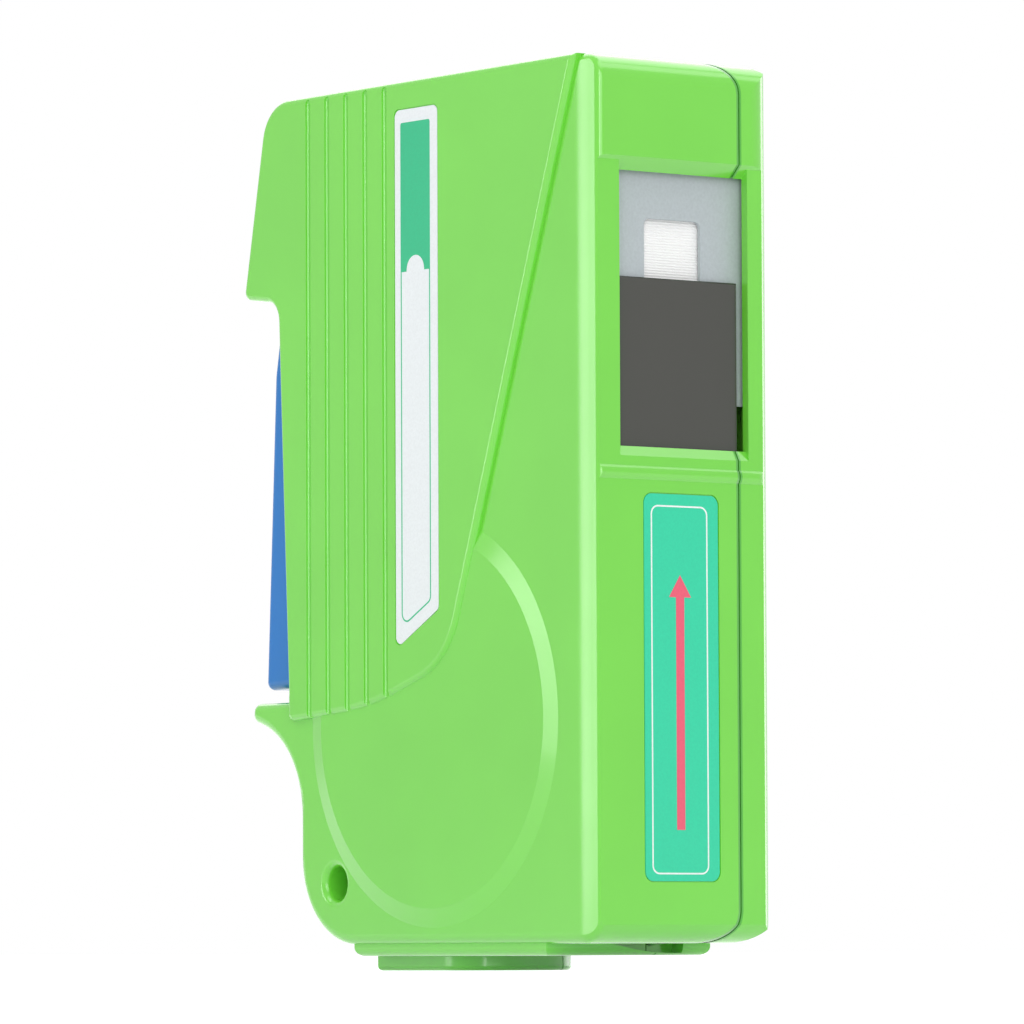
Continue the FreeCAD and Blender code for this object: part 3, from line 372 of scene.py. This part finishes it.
def side_outline():
    """Thin line that leaves the block at both sides and follows the label's slanting end."""
    front, rear = (edge + step * OUTLINE_WIDTH / 2 for edge, step in zip(SIDE_PRINT, (1, -1)))
    start = SIDE_BLOCK_UP[0]
    corners = [(front, start), (front, SIDE_LINE_ENDS[0]), (rear, SIDE_LINE_ENDS[1]), (rear, start)]
    points, tangents = turned_path(corners, SIDE_LINE_ROUND, 10, (5.0, 1.0, 5.0))
    across = np.stack([-tangents[:, 1], tangents[:, 0]], axis=-1) * OUTLINE_WIDTH / 2
    return printed("side_label_outline", points + across, points - across,
                   on_side, LABEL_FACE_Y, -1)


# ---------------------------------------------------------------- finishes
def new_finish(name, colour, roughness, metallic=0.0):
    """A material with its shader's plain values set, and the object's own coordinates."""
    material = bpy.data.materials.new(name)
    material.use_nodes = True
    tree = material.node_tree
    shader = tree.nodes["Principled BSDF"]
    shader.inputs["Base Color"].default_value = (*colour, 1.0)
    shader.inputs["Roughness"].default_value = roughness
    shader.inputs["Metallic"].default_value = metallic
    where = tree.nodes.new("ShaderNodeTexCoord")
    return material, tree, shader, where.outputs["Object"]


def noise(tree, where, scale, detail=2.0, stretch=(1, 1, 1)):
    mapping = tree.nodes.new("ShaderNodeMapping")
    mapping.inputs["Scale"].default_value = stretch
    tree.links.new(where, mapping.inputs["Vector"])
    texture = tree.nodes.new("ShaderNodeTexNoise")
    texture.inputs["Scale"].default_value = scale
    texture.inputs["Detail"].default_value = detail
    tree.links.new(mapping.outputs["Vector"], texture.inputs["Vector"])
    return texture.outputs["Fac"]


def spread(tree, value, low, high):
    """The middle half of a noise stretched to run from low to high."""
    node = tree.nodes.new("ShaderNodeMapRange")
    node.inputs["From Min"].default_value = 0.25
    node.inputs["From Max"].default_value = 0.75
    node.inputs["To Min"].default_value = low
    node.inputs["To Max"].default_value = high
    tree.links.new(value, node.inputs["Value"])
    return node.outputs["Result"]


def two_tones(tree, value, dark, light):
    ramp = tree.nodes.new("ShaderNodeValToRGB")
    ramp.color_ramp.elements[0].position = 0.3
    ramp.color_ramp.elements[0].color = (*dark, 1.0)
    ramp.color_ramp.elements[1].position = 0.7
    ramp.color_ramp.elements[1].color = (*light, 1.0)
    tree.links.new(value, ramp.inputs["Fac"])
    return ramp.outputs["Color"]


def relief(tree, heights):
    """Bump nodes in a row, one for each (height, depth in metres)."""
    normal = None
    for height, depth in heights:
        bump = tree.nodes.new("ShaderNodeBump")
        bump.inputs["Strength"].default_value = 1.0
        bump.inputs["Distance"].default_value = depth
        tree.links.new(height, bump.inputs["Height"])
        if normal:
            tree.links.new(normal, bump.inputs["Normal"])
        normal = bump.outputs["Normal"]
    return normal


def tone(colour, factor):
    return tuple(min(1.0, c * factor) for c in colour)


def arithmetic(tree, kind, first, second=0.0):
    """One math node; its inputs are sockets or plain numbers."""
    node = tree.nodes.new("ShaderNodeMath")
    node.operation = kind
    for socket, value in zip(node.inputs, (first, second)):
        if isinstance(value, float):
            socket.default_value = value
        else:
            tree.links.new(value, socket)
    return node.outputs[0]


def rise_between(tree, value, low, high):
    """0 below low, 1 above high and an even S-curve between them."""
    node = tree.nodes.new("ShaderNodeMapRange")
    node.interpolation_type = "SMOOTHSTEP"
    node.inputs["From Min"].default_value = low
    node.inputs["From Max"].default_value = high
    tree.links.new(value, node.inputs["Value"])
    return node.outputs["Result"]


def seam_distance(tree, where):
    """Distance of a point from the line between the shells, in metres.

    Seen along X the line is a rectangle's side and its two corners of radius r.  With q the place
    past the corner's centre, along Y and Z, the distance is | |max(q, 0)| - r |.  Within the
    labelled shell, where q along Y is small or negative, a whole metre is added to it."""
    axes = tree.nodes.new("ShaderNodeSeparateXYZ")
    tree.links.new(where, axes.inputs[0])
    past_y = arithmetic(tree, "SUBTRACT", axes.outputs["Y"], (SEAM_Y - SEAM_ROUND) * MM)
    above = arithmetic(tree, "SUBTRACT", axes.outputs["Z"], (FOOT_DROP + CASE_HEIGHT / 2) * MM)
    above = arithmetic(tree, "ABSOLUTE", above)
    past_z = arithmetic(tree, "SUBTRACT", above, (CASE_HEIGHT / 2 - SEAM_ROUND) * MM)
    past_y = arithmetic(tree, "MAXIMUM", past_y, 0.0)
    past_z = arithmetic(tree, "MAXIMUM", past_z, 0.0)
    squares = arithmetic(tree, "ADD", arithmetic(tree, "MULTIPLY", past_y, past_y),
                         arithmetic(tree, "MULTIPLY", past_z, past_z))
    reach = arithmetic(tree, "SQRT", squares)
    off_line = arithmetic(tree, "ABSOLUTE", arithmetic(tree, "SUBTRACT", reach, SEAM_ROUND * MM))
    within = arithmetic(tree, "LESS_THAN", past_y, SEAM_START * MM)
    return arithmetic(tree, "ADD", off_line, within)


# Noise scales, in features a metre.
CLOUDS = 45.0
WAVES = 60.0
SMEARS = 120.0
ORANGE_PEEL = 1100.0


def moulded(name, colour, gloss, vary=0.03, grain=6e-7, wave=2.5e-5, coat=0.0, specular=0.5,
            seam=False):
    """Moulded plastic: faint clouds of tone, uneven gloss, orange peel and a slow surface wave.

    Where a seam is asked for, the edges of both shells fall away to the line between them, and the
    colour is darkened near the line as painted shade in the groove."""
    material, tree, shader, where = new_finish(name, colour, gloss)
    shader.inputs["Specular IOR Level"].default_value = specular
    shader.inputs["Coat Weight"].default_value = coat
    shader.inputs["Coat Roughness"].default_value = gloss * 0.5
    clouds = noise(tree, where, CLOUDS, 2.0)
    colour_out = two_tones(tree, clouds, tone(colour, 1 - vary), tone(colour, 1 + vary))
    smears = noise(tree, where, SMEARS, 2.0)
    tree.links.new(spread(tree, smears, gloss * 0.9, gloss * 1.12), shader.inputs["Roughness"])
    peel = noise(tree, where, ORANGE_PEEL, 1.0)
    slow = noise(tree, where, WAVES, 1.0)
    heights = [(slow, wave), (peel, grain)]
    if seam:
        distance = seam_distance(tree, where)
        heights.append((rise_between(tree, distance, 0.0, SEAM_HALF_WIDTH * MM), SEAM_DEPTH * MM))
        # Painted shade: near the seam the colour is mixed towards the dark green.
        painted_shade = tree.nodes.new("ShaderNodeMix")
        painted_shade.data_type = "RGBA"
        painted_shade.inputs[6].default_value = (*SEAM_PAINTED_SHADE, 1.0)
        tree.links.new(rise_between(tree, distance, SEAM_PAINTED_SHADE_WIDTH * MM, SEAM_HALF_WIDTH * MM),
                       painted_shade.inputs[0])
        tree.links.new(colour_out, painted_shade.inputs[7])
        colour_out = painted_shade.outputs[2]
    tree.links.new(colour_out, shader.inputs["Base Color"])
    tree.links.new(relief(tree, heights), shader.inputs["Normal"])
    return material


def satin_sheet(name, colour, gloss, speck, grain):
    """Matt painted or moulded sheet with a sandy grain and small light and dark specks."""
    material, tree, shader, where = new_finish(name, colour, gloss)
    specks = noise(tree, where, 2600.0, 4.0)
    colour_out = two_tones(tree, specks, tone(colour, 1 - speck), tone(colour, 1 + speck))
    tree.links.new(colour_out, shader.inputs["Base Color"])
    sand = noise(tree, where, 4200.0, 3.0)
    tree.links.new(spread(tree, sand, gloss * 0.9, gloss * 1.1), shader.inputs["Roughness"])
    tree.links.new(relief(tree, [(sand, grain)]), shader.inputs["Normal"])
    return material


def printed_film(name, colour):
    """Printed label film: a slight screen in the ink and a soft orange-peel gloss."""
    material, tree, shader, where = new_finish(name, colour, 0.34)
    screen = noise(tree, where, 3600.0, 2.0)
    colour_out = two_tones(tree, screen, tone(colour, 0.97), tone(colour, 1.03))
    tree.links.new(colour_out, shader.inputs["Base Color"])
    peel = noise(tree, where, 900.0, 2.0)
    tree.links.new(spread(tree, peel, 0.3, 0.4), shader.inputs["Roughness"])
    tree.links.new(relief(tree, [(peel, 6e-6)]), shader.inputs["Normal"])
    return material


def cloth():
    """Lint-free wiping tape: fine threads both ways, raised a little, and a dull sheen."""
    colour = (0.97, 0.97, 0.97)
    material, tree, shader, where = new_finish("wiping_cloth", colour, 0.92)
    shader.inputs["Sheen Weight"].default_value = 0.15
    threads = noise(tree, where, 2200.0, 3.0, stretch=(0.35, 3.0, 0.35))
    weft = noise(tree, where, 2600.0, 3.0, stretch=(2.0, 0.2, 2.0))
    colour_out = two_tones(tree, weft, tone(colour, 0.96), colour)
    tree.links.new(colour_out, shader.inputs["Base Color"])
    tree.links.new(relief(tree, [(threads, 6e-6), (weft, 6e-6)]), shader.inputs["Normal"])
    return material


def foam():
    """Black foam rubber with open cells."""
    colour = (0.018, 0.018, 0.02)
    material, tree, shader, where = new_finish("pad_foam", colour, 0.85)
    cells = tree.nodes.new("ShaderNodeTexVoronoi")
    cells.inputs["Scale"].default_value = 2400.0
    tree.links.new(where, cells.inputs["Vector"])
    patches = noise(tree, where, 700.0, 2.0)
    tree.links.new(two_tones(tree, patches, tone(colour, 0.7), tone(colour, 1.5)),
                   shader.inputs["Base Color"])
    tree.links.new(relief(tree, [(cells.outputs["Distance"], 8e-5)]), shader.inputs["Normal"])
    return material


def ground_steel(name, colour, gloss, stretch):
    """Steel with fine lines along one direction and slightly uneven gloss."""
    material, tree, shader, where = new_finish(name, colour, gloss, metallic=1.0)
    lines = noise(tree, where, 900.0, 4.0, stretch=stretch)
    colour_out = two_tones(tree, lines, tone(colour, 0.88), tone(colour, 1.06))
    tree.links.new(colour_out, shader.inputs["Base Color"])
    tree.links.new(spread(tree, lines, gloss * 0.8, gloss * 1.25), shader.inputs["Roughness"])
    tree.links.new(relief(tree, [(lines, 3e-6)]), shader.inputs["Normal"])
    return material


case_green = moulded("case_green", (0.18, 0.70, 0.056), 0.2, coat=0.5, seam=True)
lever_blue = moulded("lever_blue", (0.02, 0.2, 0.6), 0.24, specular=0.3)
shutter_dark = moulded("shutter_dark", (0.06, 0.061, 0.053), 0.14, grain=2e-7, wave=6e-6)
reel_white = moulded("reel_white", (0.8, 0.8, 0.77), 0.42)
gear_white = moulded("gear_white", (0.72, 0.72, 0.66), 0.38)
holder_grey = moulded("holder_grey", (0.27, 0.3, 0.32), 0.5)
plate_grey = satin_sheet("plate_grey", (0.47, 0.515, 0.545), 0.5, 0.05, 9e-6)
film_white = printed_film("film_white", (0.84, 0.88, 0.9))
film_teal = printed_film("film_teal", (0.03, 0.66, 0.385))
ink_teal = printed_film("ink_teal", (0.005, 0.5, 0.23))
ink_white = printed_film("ink_white", (0.93, 0.94, 0.94))
ink_red = printed_film("ink_red", (0.86, 0.115, 0.19))
tape_cloth = cloth()
pad_foam = foam()
pin_steel = ground_steel("pin_steel", (0.62, 0.62, 0.64), 0.28, (1, 0.05, 1))
spring_steel = ground_steel("spring_steel", (0.5, 0.52, 0.55), 0.32, (1, 1, 0.1))

NODE_FINISHES = {
    "label_shell": case_green,
    "cover_shell": case_green,
    "side_label": film_white,
    "arrow_label": film_teal,
    "tape_plate": plate_grey,
    "pad_holder": holder_grey,
    "lower_guide_pin": pin_steel,
    "upper_guide_pin": pin_steel,
    "supply_reel": reel_white,
    "supply_axle": pin_steel,
    "supply_brake_spring": spring_steel,
    "takeup_reel": reel_white,
    "takeup_axle": pin_steel,
    "stop_ratchet": gear_white,
    "drive_ratchet": gear_white,
    "stop_spring": spring_steel,
    "drive_gear": gear_white,
    "drive_finger": spring_steel,
    "lever": lever_blue,
    "lever_pin": pin_steel,
    "shutter": shutter_dark,
    "shutter_slider": holder_grey,
}
for node, finish in NODE_FINISHES.items():
    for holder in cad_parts[node].material_slots:
        holder.material = finish


# ---------------------------------------------------------------- pieces on their bodies
def dress(piece, finish, body, slot, *nodes):
    """Gives a new piece its finish and its body, and hides the nodes that it stands for.

    A piece that is blended between two bodies comes without a body.  The slot is not used."""
    piece.data.materials.append(finish)
    if body:
        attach(piece, body)
    if nodes:
        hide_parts(*nodes)
    return piece


run, run_length = tape_run()
dress(run, tape_cloth, "case", "tape_white", "cleaning_tape")

takeup_winding, takeup_length = wound_tape("takeup_winding", TAKEUP_CENTRE, TAKEUP_WOUND_TO, -2.5)
dress(takeup_winding, tape_cloth, "takeup", "tape_white", "takeup_tape_roll")

supply_winding, supply_length = wound_tape("supply_winding", SUPPLY_CENTRE, SUPPLY_WOUND_TO, 3.4)
dress(supply_winding, tape_cloth, "supply", "tape_white", "supply_tape_roll")

pad = dress(backing_foam(), pad_foam, "case", "pad_black", "backing_pad")

coil = dress(lever_coil(), spring_steel, None, "spring_steel", "lever_spring")
tuple(place(SPRING_BACK[0], SPRING_UP, 0.0))
tuple(place(SPRING_BACK[1], SPRING_UP, 0.0))
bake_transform(coil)

dress(arrow_outline(), ink_white, "case", "label_teal")
dress(arrow_shape(), ink_red, "case", "label_teal")
dress(side_block(), ink_teal, "case", "label_white")
dress(side_outline(), ink_teal, "case", "label_white")


# ---------------------------------------------------------------- floor, light and camera
def seen_directly(tree):
    """1 where a ray comes straight from the camera, a mirror or a glass, and 0 elsewhere."""
    light_path = tree.nodes.new("ShaderNodeLightPath")
    total = light_path.outputs["Is Camera Ray"]
    for kind in ("Is Glossy Ray", "Is Transmission Ray"):
        total = arithmetic(tree, "MAXIMUM", total, light_path.outputs[kind])
    return total


WORLD_LIGHT = 0.37             # strength of the room on surfaces; seen directly it is 1
FLOOR_LIFT = 0.9               # white added to the floor where it is seen directly
FLOOR_RADIUS = 3
LAMP_AIM = (0, 0, 0.06)        # the cassette's middle

world = bpy.data.worlds.new("pale_room")
bpy.context.scene.world = world
world.use_nodes = True
sky = world.node_tree.nodes["Background"]
sky.inputs["Color"].default_value = (1, 1, 1, 1)
room_light = world.node_tree.nodes.new("ShaderNodeMapRange")
room_light.inputs["To Min"].default_value = WORLD_LIGHT
room_light.inputs["To Max"].default_value = 1.0
world.node_tree.links.new(seen_directly(world.node_tree), room_light.inputs["Value"])
world.node_tree.links.new(room_light.outputs["Result"], sky.inputs["Strength"])


def floor():
    """Round pale floor; what is seen of it directly is lifted to white, and shadows stay."""
    t = np.linspace(0, 2 * math.pi, 96, endpoint=False)
    rim = np.stack([FLOOR_RADIUS * np.cos(t), FLOOR_RADIUS * np.sin(t), 0 * t], axis=-1)
    mesh = bpy.data.meshes.new("floor")
    mesh.from_pydata(rim.tolist(), [], [list(range(len(t)))])
    piece = bpy.data.objects.new("floor", mesh)
    bpy.context.scene.collection.objects.link(piece)
    material, tree, shader, where = new_finish("pale_floor", (0.8, 0.8, 0.8), 0.9)
    soft = noise(tree, where, 30.0, 2.0)
    tree.links.new(two_tones(tree, soft, (0.79, 0.79, 0.79), (0.81, 0.81, 0.81)),
                   shader.inputs["Base Color"])
    shader.inputs["Specular IOR Level"].default_value = 0.0
    shader.inputs["Emission Color"].default_value = (1, 1, 1, 1)
    lift = arithmetic(tree, "MULTIPLY", seen_directly(tree), FLOOR_LIFT)
    tree.links.new(lift, shader.inputs["Emission Strength"])
    mesh.materials.append(material)


def softbox(name, azimuth, height, distance, width, tall, power):
    """Area lamp aimed at the cassette.  Its azimuth is counted from the labelled side towards the
    front, its lengths are in metres and its power is in watts."""
    lamp = bpy.data.lights.new(name, "AREA")
    lamp.shape = "RECTANGLE"
    lamp.size = width
    lamp.size_y = tall
    lamp.energy = power
    holder = bpy.data.objects.new(name, lamp)
    a = math.radians(azimuth)
    holder.location = (distance * math.sin(a), -distance * math.cos(a), height)
    aim = Vector(LAMP_AIM) - holder.location
    holder.rotation_euler = aim.to_track_quat("-Z", "Y").to_euler()
    bpy.context.scene.collection.objects.link(holder)


floor()
# Azimuth, height, distance, width, tall and power.
LAMPS = {
    "strip_left": (-35.0, 0.15, 1.25, 0.32, 0.5, 2.0),
    "strip_middle": (43.0, 0.15, 1.25, 0.14, 0.5, 1.6),
    "soft_front": (62.0, 0.6, 1.5, 1.0, 1.2, 9.2),
    "soft_side": (-20.0, 1.3, 0.9, 0.8, 0.8, 4.8),
    "strip_right": (190.0, 0.3, 1.25, 0.3, 1.1, 2.4),
    "soft_above": (225.0, 0.95, 0.85, 1.4, 1.0, 6.0),
    "soft_over_front": (127.0, 1.1, 0.7, 1.0, 0.6, 3.2),
}
for lamp_name, setting in LAMPS.items():
    softbox(lamp_name, *setting)

CAMERA_AT = (0.77694, -0.59258, 0.003)
CAMERA_TURN = 52.611
CAMERA_RISE = 3.508
CAMERA_ROLL = -0.225
CAMERA_LENS = 250.24
SENSOR_WIDTH = 36.0
camera = bpy.data.objects.new("camera", bpy.data.cameras.new("camera"))
camera.data.lens = CAMERA_LENS
camera.data.sensor_width = SENSOR_WIDTH
camera.location = CAMERA_AT
turn = math.radians(CAMERA_TURN)
rise = math.radians(CAMERA_RISE)
look = Vector((-math.sin(turn) * math.cos(rise), math.cos(turn) * math.cos(rise), math.sin(rise)))
level = look.to_track_quat("-Z", "Y")
camera.rotation_euler = (level @ Quaternion((0, 0, 1), math.radians(CAMERA_ROLL))).to_euler()
bpy.context.scene.collection.objects.link(camera)
bpy.context.scene.camera = camera
bpy.context.scene.view_settings.view_transform = "Standard"
